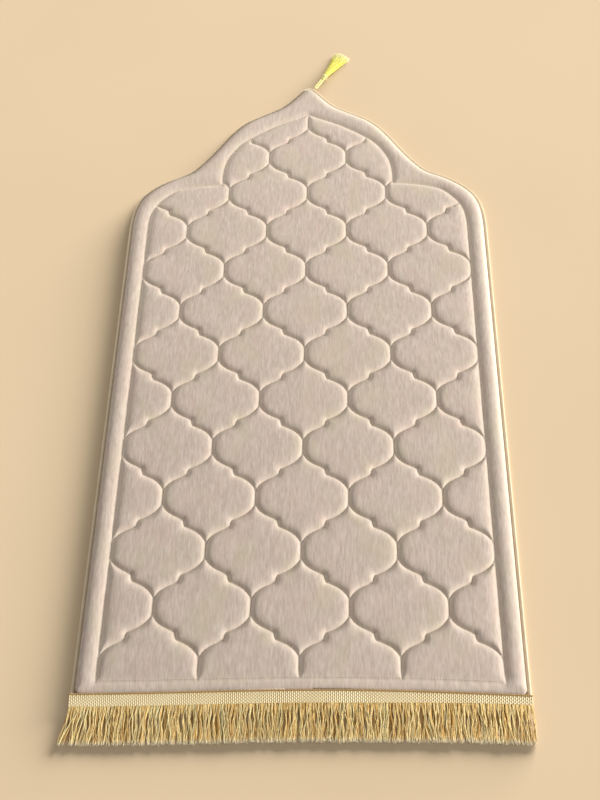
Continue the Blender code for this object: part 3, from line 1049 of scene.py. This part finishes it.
@dataclass
class EdgeBinding:
    """Cream tape round the sides and the dome: a thin web beside the pad, then a round lip."""

    plan: RugPlan
    web: float = 2.0 * MM
    bead: float = 2.1 * MM
    lift: float = 0.2 * MM
    bead_points: int = 10
    bead_from_deg: float = -90
    bead_to_deg: float = 150
    waver: float = 0.25 * MM
    waver_size: float = 25 * MM
    sharp_deg: float = 50
    tape: WovenTape = WovenTape("woven_polyester_edge_tape", "EBDCC2", "CDBB9B")

    def section(self) -> np.ndarray:
        """Draw the cross-section.

        Returns:
            Its corners, out from the pad and up.
        """
        turns = np.radians(np.linspace(self.bead_from_deg, self.bead_to_deg, self.bead_points))
        bead = np.array([GAP + self.web + self.bead, self.lift + self.bead])
        lip = bead + self.bead * np.stack([np.cos(turns), np.sin(turns)], axis=1)
        web_top = self.lift + self.bead / 4
        return np.vstack([lip, [(GAP, web_top), (GAP, self.lift)]])

    def build(self) -> None:
        """Build and dress the binding."""
        plan, side, section = self.plan, self.plan.side(), self.section()
        end = straight(side[-1], (plan.half_width, plan.lower_y), plan.step)
        right = np.vstack([side[:-1], end])
        path = np.vstack([right[::-1], right[1:] * (-1, 1)])
        path[:, 1] = plan.waved(path[:, 0], path[:, 1])
        flat = path[:, None] - leftward(path)[:, None] * section[None, :, :1]
        high = np.broadcast_to(section[:, 1], flat.shape[:2]).copy()
        on_lip = high > 2 * self.bead
        high += self.waver * on_lip * waves(path, self.waver_size, Field.LIP)[:, None]
        verts = np.concatenate([flat, high[..., None]], axis=2).reshape(-1, 3)
        mesh = mesh_of("bound_edge", verts, skin(1, *flat.shape[:2]))
        mesh.set_sharp_from_angle(angle=math.radians(self.sharp_deg))
        add_piece("bound_edge", mesh, self.tape, ("edge_binding",))


# --- the fringe --------------------------------------------------------------------------------

@dataclass
class FringeHeading:
    """The fringe's woven heading, with a twisted cord along its upper edge, dyed a darker gold that is
    partly a painted shadow where the heading meets the pad.
    """

    plan: RugPlan
    width: float = 660 * MM
    depth: float = 18 * MM
    drawn_share: float = 0.27
    drawn_from: float = 60 * MM
    drawn_over: float = 260 * MM
    thickness: float = 2.4 * MM
    back_z: float = 6.4 * MM
    front_z: float = 2.6 * MM
    least_z: float = 0.2 * MM
    rib_pitch: float = 2.8 * MM
    rib_height: float = 0.8 * MM
    rib_points: int = 5
    weft_pitch: float = 4.2 * MM
    weft_height: float = 0.4 * MM
    rows: int = 18
    dye_lot: float = 0.37
    # How much lighter the rib crests and the raised weft are than the hollows: painted shade
    rib_shade: float = 0.45
    weft_shade: float = 0.12
    cord_below: float = 1.6 * MM
    cord_above: float = 0.2 * MM
    twist_pitch: float = 5.5 * MM
    twist_points: int = 8
    ply: float = 0.65 * MM
    ply_offset: float = 0.5 * MM
    ply_sides: int = 6
    weave: ViscoseYarn = ViscoseYarn("pale_gold_viscose_heading", "C9A662", "F2DCA6", "FFF5D4", "FFF5D4")
    # Darker gold than the heading: partly the cord's own colour, partly a painted shadow along the pad's
    # lower edge
    cord: ViscoseYarn = ViscoseYarn("gold_edge_cord_and_painted_shade", "B8914E", "D6B26C", "EBD08E", "EBD08E")

    def depth_at(self, x: np.ndarray) -> np.ndarray:
        """Return the heading's depth at each place across: it is drawn in at the right end."""
        return self.depth * (1 - self.drawn_share * ease((x - self.drawn_from) / self.drawn_over))

    def band(self) -> None:
        """Build and dress the woven band."""
        columns = round(self.width / self.rib_pitch) * self.rib_points + 1
        across, back = np.linspace(-1, 1, columns), np.linspace(0, 1, self.rows)
        x, share = np.meshgrid(across * self.width / 2, back)
        y = self.plan.lower_y - GAP - self.depth_at(x) * (1 - share)
        top = self.front_z + (self.back_z - self.front_z) * share + self.thickness / 2
        turn = x / self.rib_pitch
        over = np.cos(math.tau * y / self.weft_pitch + math.pi * np.floor(turn))
        rib = np.abs(np.cos(math.pi * (turn - 0.5)))
        top = top + self.rib_height * (rib - 1) + self.weft_height * over * rib
        bottom = np.maximum(top - self.thickness + self.rib_height, self.least_z)
        y = self.plan.waved(x, y)
        verts = np.concatenate([np.stack([x, y, z], axis=-1).reshape(-1, 3) for z in (top, bottom)])
        number = np.arange(x.size).reshape(x.shape)
        cells = [number[:-1, :-1], number[:-1, 1:], number[1:, 1:], number[1:, :-1]]
        quads = np.stack(cells, axis=-1).reshape(-1, 4)
        rim = np.concatenate([number[0], number[1:, -1], number[-1, -2::-1], number[-2:0:-1, 0]])
        after = np.roll(rim, -1)
        walls = np.stack([rim, rim + x.size, after + x.size, after], axis=1)
        faces = np.concatenate([quads, quads[:, ::-1] + x.size, walls])
        # The weave is lighter on the rib crests and where the weft lies over, and darker between them:
        # painted shade in its hollows
        lot = np.clip(self.rib_shade * rib + self.dye_lot + self.weft_shade * over, 0, 1)
        mesh = mesh_of("fringe_heading", verts, faces, {"lot": np.tile(lot.ravel(), 2)})
        add_piece("fringe_heading", mesh, self.weave)

    def edge_cord(self) -> None:
        """Build and dress the twisted cord."""
        x = np.arange(-self.width / 2, self.width / 2, self.twist_pitch / self.twist_points)
        paths = []
        for start in (0, math.pi):
            turn = math.tau * x / self.twist_pitch + start
            straight_y = self.plan.lower_y - self.cord_below + self.ply_offset * np.cos(turn)
            top = self.back_z + self.thickness / 2 + self.cord_above
            z = top + self.ply_offset * np.sin(turn)
            paths.append(np.stack([x, self.plan.waved(x, straight_y), z], axis=-1))
        add_threads("fringe_edge_cord", np.array(paths), self.ply, self.ply_sides, self.cord)

    def build(self) -> None:
        """Build the band and its cord."""
        self.band()
        self.edge_cord()


@dataclass
class FringeLocks:
    """The fringe's gold threads, in locks that start under its heading."""

    heading: FringeHeading
    reach: float = 54 * MM
    tucked: float = 1.5 * MM
    flare_left: float = 12 * MM
    flare_right: float = 5 * MM
    flare_power: int = 9
    lean_power: float = 1.5
    sway_turn: float = 7
    twist: float = 2.4
    looseness: float = 0.4
    crinkle: float = 0.4 * MM
    crinkles: float = 3.5
    lock_scatter: float = 0.012
    thread_scatter: float = 0.014
    lot_scatter: float = 0.14
    thread_radius: float = 0.48 * MM
    taper: float = 0.1
    # The threads turn pale over their last few millimetres: paler cut ends, and partly a painted
    # highlight where the lock ends catch the light
    cut_from: float = 0.9
    cut_over: float = 0.06
    stations: int = 14
    sides: int = 3
    spread_at: tuple[float, ...] = (0, 0.4, 1)
    thick_at: tuple[float, ...] = (0, 0.35, 1)
    thick_mm: tuple[float, ...] = (1.0, 1.9, 1.4)
    stops: tuple[LockStop, ...] = (
        LockStop(0, 2.4, 0), LockStop(0.35, 1.4, 1), LockStop(0.75, 1.3, 0.5), LockStop(1, 1.6, 0),
    )
    # The under layer takes a dark tone as painted shade beneath the locks, and the strays on top a pale
    # one as painted highlight; random dye lots are added to each
    kinds: tuple[LockKind, ...] = (
        LockKind(250, 3, (1.3, 1.2, 1.6), 0.3, 1.5, 0.6, 0.05),
        LockKind(130, 10, (2.6, 1.5, 2.9), 1.9, 2.4, 1.2, 0.62),
        LockKind(150, 2, (0.7, 0.7, 1.2), 3.2, 5.0, 1.6, 1.0),
    )
    yarn: ViscoseYarn = ViscoseYarn("gold_viscose_yarn", "C4993F", "FFDA8A", "FFF4BE", "FFFAE4")

    def lay(self, kind: LockKind, grain: np.random.Generator) -> tuple[np.ndarray, np.ndarray]:
        """Lay out one kind of lock: a bundle that narrows, turns and opens like a broom.

        Args:
            kind: the kind of lock.
            grain: the source of its unevenness.

        Returns:
            The threads' paths and each thread's tone: its kind's painted shade or highlight, with random
            dye lots.
        """
        plan, width = self.heading.plan, self.heading.width
        along = np.linspace(0, 1, self.stations)
        locks, threads = (kind.count, 1, 1), (kind.count, kind.threads, 1)
        root = ((np.arange(kind.count) + 0.5) / kind.count - 0.5).reshape(locks) * width
        most = np.where(root < 0, self.flare_left, self.flare_right)
        flare = most * (2 * root / width) ** self.flare_power
        lean = grain.normal(0, kind.lean_mm * MM, locks)
        phase = grain.uniform(0, math.tau, locks)
        swing = np.sin(phase + self.sway_turn * along) - np.sin(phase)
        sway = kind.sway_mm * MM * swing * ease(2 * along)
        ripple = np.sin(grain.uniform(0, math.tau, threads) + math.tau * self.crinkles * along)
        spread = np.interp(along, self.spread_at, kind.spread_mm) * MM
        turn = grain.uniform(0, math.tau, threads) + grain.normal(0, self.twist, locks) * along
        radius = np.sqrt(grain.uniform(0, 1, threads))
        loose = grain.normal(0, self.looseness, threads) * spread * along ** 2 + self.crinkle * ripple
        leaning = (flare + lean) * along ** self.lean_power
        x = root + leaning + sway + spread * radius * np.cos(turn) + loose
        longer = 1 + (grain.normal(0, self.lock_scatter, locks)
                      + grain.normal(0, self.thread_scatter, threads))
        roots = plan.lower_y - GAP - self.heading.depth_at(root) + self.tucked
        y = plan.waved(root, roots - self.reach * along * longer)
        heights = [stop.height_mm + stop.rise_share * kind.rise_mm for stop in self.stops]
        middle = np.interp(along, [stop.along for stop in self.stops], heights)
        thick = np.interp(along, self.thick_at, self.thick_mm) * min(kind.rise_mm, 1.0)
        z = np.maximum((middle + thick * radius * np.sin(turn)) * MM, self.thread_radius)
        paths = np.stack([x, np.broadcast_to(y, x.shape), z], axis=-1)
        # A lock's tone is its kind's painted shade or highlight, with random dye lots on top
        lot = kind.lot + grain.normal(0, self.lot_scatter, locks)
        lot = np.clip(lot + grain.normal(0, self.lot_scatter, threads), 0, 1)
        return paths.reshape(-1, self.stations, 3), lot.ravel()

    def build(self) -> None:
        """Build and dress the threads."""
        grain = np.random.default_rng(SEED)
        laid = [self.lay(kind, grain) for kind in self.kinds]
        paths = np.concatenate([paths for paths, _ in laid])
        lots = np.concatenate([lot for _, lot in laid])
        along = np.linspace(0, 1, self.stations)
        values = {"lot": lots[:, None], "pale_end_and_highlight": ease((along - self.cut_from) / self.cut_over)}
        add_threads("fringe_threads", paths, self.thread_radius * (1 - self.taper * along),
                    self.sides, self.yarn, ("fringe",), values)


# --- the tassel --------------------------------------------------------------------------------

@dataclass
class Tassel:
    """Bright yellow tassel, lying on the floor: a doubled cord, a bound head and a fanned skirt."""

    plan: RugPlan
    base_across: float = 13 * MM
    base_above: float = 4 * MM
    turn: float = math.radians(60)
    loop_length: float = 27 * MM
    cord_radius: float = 1.7 * MM
    cord_step: float = 0.8 * MM
    bend_points: int = 13
    ply: float = 0.9 * MM
    ply_sides: int = 8
    twist_pitch: float = 8 * MM
    head_length: float = 13 * MM
    head_radius: float = 4.4 * MM
    head_back: tuple[float, ...] = (-1.0, -0.75, -0.4, -0.15)
    head_pinch: tuple[float, ...] = (0.45, 0.85, 0.97, 0.98)
    axis_z: float = 6.0 * MM
    band_at: float = 5 * MM
    band_turns: float = 4.0
    turn_points: int = 24
    wrap_radius: float = 0.5 * MM
    wrap_sides: int = 6
    threads: int = 260
    thread_radius: float = 0.4 * MM
    thread_sides: int = 4
    fan_stations: int = 8
    bow: float = 0.25
    uneven: float = 1.0 * MM
    lot_middle: float = 0.4
    lot_scatter: float = 0.25
    # Pale share by station: painted highlight on the head, then paler cut ends at the tips
    highlight_and_cut_ends: tuple[float, ...] = (0.6, 0.6, 0.6, 0.3, 0, 0, 0, 0, 0, 0, 0.4, 1.0)
    # The band and the cord take a pale tone and a pale share: painted highlight
    wrap_highlight_tone: float = 0.9
    wrap_highlight: float = 0.5
    cord_highlight_tone: float = 0.8
    cord_highlight: float = 0.6
    rows: tuple[SkirtRow, ...] = (
        SkirtRow(0, 4.2, 1.9, 8.2), SkirtRow(12, 6.2, 1.2, 8.0), SkirtRow(38, 11.0, 0.0, 5.4),
        SkirtRow(70, 18.0, 0.0, 3.6),
    )
    yarn: ViscoseYarn = ViscoseYarn(
        "yellow_viscose_yarn", "EEE650", "F9F56A", "FFFDB8", "FFFCCB", roughness=0.5,
        soil=Patch((20 * MM,) * 3))

    def place(self, local: np.ndarray) -> np.ndarray:
        """Turn local points into the rug's frame.

        Args:
            local: points along the tassel, across it and up from the floor.

        Returns:
            The points in the rug's frame.
        """
        along = np.array([math.cos(self.turn), math.sin(self.turn)])
        aside = np.array([math.sin(self.turn), -math.cos(self.turn)])
        base = np.array([self.base_across, self.plan.tip_y + self.base_above])
        flat = base + local[..., :1] * along + local[..., 1:2] * aside
        return np.concatenate([flat, local[..., 2:]], axis=-1)

    def skirt(self) -> None:
        """Build and dress the head and the skirt as one bundle of threads."""
        grain = np.random.default_rng(SEED)
        each = (self.threads, 1)
        angle = grain.uniform(0, math.tau, each)
        radius = np.sqrt(grain.uniform(0, 1, each))
        across, up = radius * np.cos(angle), radius * np.sin(angle)
        marks, *columns = np.array(self.rows).T
        reach = np.linspace(0, marks[-1], self.fan_stations)
        spread, under, height = [np.polyval(np.polyfit(marks, column, len(marks) - 1), reach) * MM
                                 for column in columns]
        back, pinch = np.array(self.head_back) * self.head_length, np.array(self.head_pinch)
        shorter = self.bow * spread * across * across - grain.normal(0, 1, each) * self.uneven
        roots = self.loop_length + GAP + self.head_length
        head = np.broadcast_to(roots + back, (self.threads, len(back)))
        longways = np.concatenate([head, roots + reach * MM - shorter * reach / reach[-1]], axis=1)
        sideways = np.concatenate([across * pinch * self.head_radius, across * spread], axis=1)
        head_up = self.axis_z + up * pinch * self.head_radius
        fan_up = under + (up + 1) / 2 * height
        upways = np.maximum(np.concatenate([head_up, fan_up], axis=1), self.thread_radius)
        paths = self.place(np.stack([longways, sideways, upways], axis=-1))
        lot = np.clip(grain.normal(self.lot_middle, self.lot_scatter, self.threads), 0, 1)
        values = {"lot": lot[:, None], "pale_end_and_highlight": np.array(self.highlight_and_cut_ends)}
        add_threads("tassel_threads", paths, self.thread_radius, self.thread_sides, self.yarn,
                    ("tassel",), values)

    def band(self) -> None:
        """Build and dress the thread wound round the neck."""
        turns = np.linspace(0, math.tau * self.band_turns, round(self.turn_points * self.band_turns))
        radius = self.head_radius + GAP + self.wrap_radius
        middle = self.loop_length + GAP + self.head_length - self.band_at
        longways = middle + (turns / turns[-1] - 0.5) * self.band_turns * 2 * self.wrap_radius
        upways = self.axis_z + radius * np.sin(turns)
        paths = self.place(np.stack([longways, radius * np.cos(turns), upways], axis=-1))[None]
        values = {"lot": self.wrap_highlight_tone, "pale_end_and_highlight": self.wrap_highlight}
        add_threads("tassel_binding", paths, self.wrap_radius, self.wrap_sides, self.yarn,
                    ("tassel_band",), values)

    def cord(self) -> None:
        """Build and dress the doubled cord, each of its legs two plies twisted together."""
        side, offset = self.cord_radius + GAP, self.cord_radius - self.ply
        leg = np.arange(self.loop_length, side, -self.cord_step)
        bend = [(side - side * math.sin(a), side * math.cos(a))
                for a in np.linspace(0, math.pi, self.bend_points)]
        centre = np.array([(s, side) for s in leg] + bend + [(s, -side) for s in leg[::-1]])
        run = np.concatenate([[0], np.cumsum(np.linalg.norm(np.diff(centre, axis=0), axis=1))])
        paths = []
        for start in (0, math.pi):
            turn = math.tau * run / self.twist_pitch + start
            flat = centre + (offset * np.cos(turn))[:, None] * leftward(centre)
            high = self.axis_z + offset * np.sin(turn)
            paths.append(np.concatenate([flat, high[:, None]], axis=1))
        values = {"lot": self.cord_highlight_tone, "pale_end_and_highlight": self.cord_highlight}
        add_threads("tassel_cord", self.place(np.array(paths)), self.ply, self.ply_sides,
                    self.yarn, ("tassel_loop",), values)

    def build(self) -> None:
        """Build the whole tassel."""
        self.cord()
        self.skirt()
        self.band()


# --- the studio --------------------------------------------------------------------------------

class Target(Enum):
    """What a light falls on, by the state in which the floor is linked to it."""

    RUG = "EXCLUDE"
    FLOOR = "INCLUDE"


@dataclass(frozen=True)
class SoftLight:
    """A soft box, aimed at the rug's middle from an azimuth counted from +X towards +Y."""

    name: str
    target: Target
    azimuth_deg: float
    elevation_deg: float
    distance: float
    width: float
    height: float
    brightness: float
    colour: str

    def build(self, floor: Object) -> None:
        """Put the light up, so that a face turned to it gets its brightness.

        Args:
            floor: the floor, which the light either leaves out or falls on alone.
        """
        data = bpy.data.lights.new(self.name, "AREA")
        data.shape = "ELLIPSE"
        data.size, data.size_y = self.width, self.height
        data.energy = self.brightness * (math.pi * self.distance) ** 2
        data.color = linear(self.colour)[:3]
        light = put(self.name, data)
        azimuth, elevation = math.radians(self.azimuth_deg), math.radians(self.elevation_deg)
        flat = math.cos(elevation)
        towards = Vector((math.cos(azimuth) * flat, math.sin(azimuth) * flat, math.sin(elevation)))
        light.location = towards * self.distance
        light.rotation_euler = towards.to_track_quat("Z", "Y").to_euler()
        receivers = bpy.data.collections.new(self.name)
        receivers.objects.link(floor)
        receivers.collection_objects[0].light_linking.link_state = self.target.value
        light.light_linking.receiver_collection = receivers


@dataclass
class Studio:
    """A pale paper floor, soft light from the right and the camera.

    The floor has a light of its own. No single light that was tried gave both the rug's shading and
    the soft shadow at its left and below.
    """

    floor_size: float = 50.0
    floor_drop: float = 0.2 * MM
    azimuth_deg: float = 4.911
    elevation_deg: float = 61.39
    roll_deg: float = -4.49
    aim: tuple[float, float, float] = (-6.3 * MM, -119.8 * MM, 8 * MM)
    distance: float = 1.5918
    lens_mm: float = 43.2
    sensor_mm: float = 36.0
    ambient: float = 0.34
    ambient_colour: str = "FFFBF5"
    lights: tuple[SoftLight, ...] = (
        SoftLight("key", Target.RUG, -3, 20, 6.5, 1.9, 1.9, 1.65, "FFFBF5"),
        SoftLight("fill", Target.RUG, 118, 26, 1.9, 0.9, 0.9, 0.32, "FFFBF5"),
        SoftLight("floor_light", Target.FLOOR, 54, 5.9, 60.0, 55.0, 12.1, 6.95, "FFFBF6"),
    )

    def floor(self) -> Object:
        """Lay the floor.

        Returns:
            The floor.
        """
        bm = bmesh.new()
        bmesh.ops.create_grid(bm, x_segments=1, y_segments=1, size=self.floor_size / 2)
        mesh = bpy.data.meshes.new("floor")
        bm.to_mesh(mesh)
        bm.free()
        mesh.materials.append(PaperSweep().material())
        floor = put("floor", mesh)
        floor.location.z = -self.floor_drop
        return floor

    def camera(self) -> None:
        """Set up the camera at the photograph's angle."""
        data = bpy.data.cameras.new("camera")
        data.lens = self.lens_mm
        data.sensor_width = self.sensor_mm
        camera = put("camera", data)
        azimuth, elevation = math.radians(self.azimuth_deg), math.radians(self.elevation_deg)
        turn = Matrix.Rotation(azimuth, 4, "Z") @ Matrix.Rotation(math.pi / 2 - elevation, 4, "X")
        turn = turn @ Matrix.Rotation(math.radians(self.roll_deg), 4, "Z")
        back = turn.to_3x3() @ Vector((0, 0, 1))
        camera.matrix_world = Matrix.Translation(Vector(self.aim) + back * self.distance) @ turn
        bpy.context.scene.camera = camera

    def build(self) -> None:
        """Set up the floor, the lights, the even light of the room and the camera."""
        floor = self.floor()
        for light in self.lights:
            light.build(floor)
        world = bpy.data.worlds.new("room")
        world.use_nodes = True
        set_up(world.node_tree.nodes["Background"], {
            "Color": linear(self.ambient_colour), "Strength": self.ambient})
        bpy.context.scene.world = world
        bpy.context.scene.view_settings.view_transform = "Standard"
        self.camera()


def main() -> None:
    """Build the rug and its studio."""
    logging.basicConfig(level=logging.INFO, format="%(name)s: %(message)s")
    log.info("the frame has the nodes %s", ", ".join(sorted(frame["nodes"])))
    plan = RugPlan()
    body = PaddedBody(plan)
    body.build()
    StitchLine(body).build()
    EdgeBinding(plan).build()
    heading = FringeHeading(plan)
    heading.build()
    FringeLocks(heading).build()
    Tassel(plan).build()
    Studio().build()


if __name__ == "__main__":
    main()
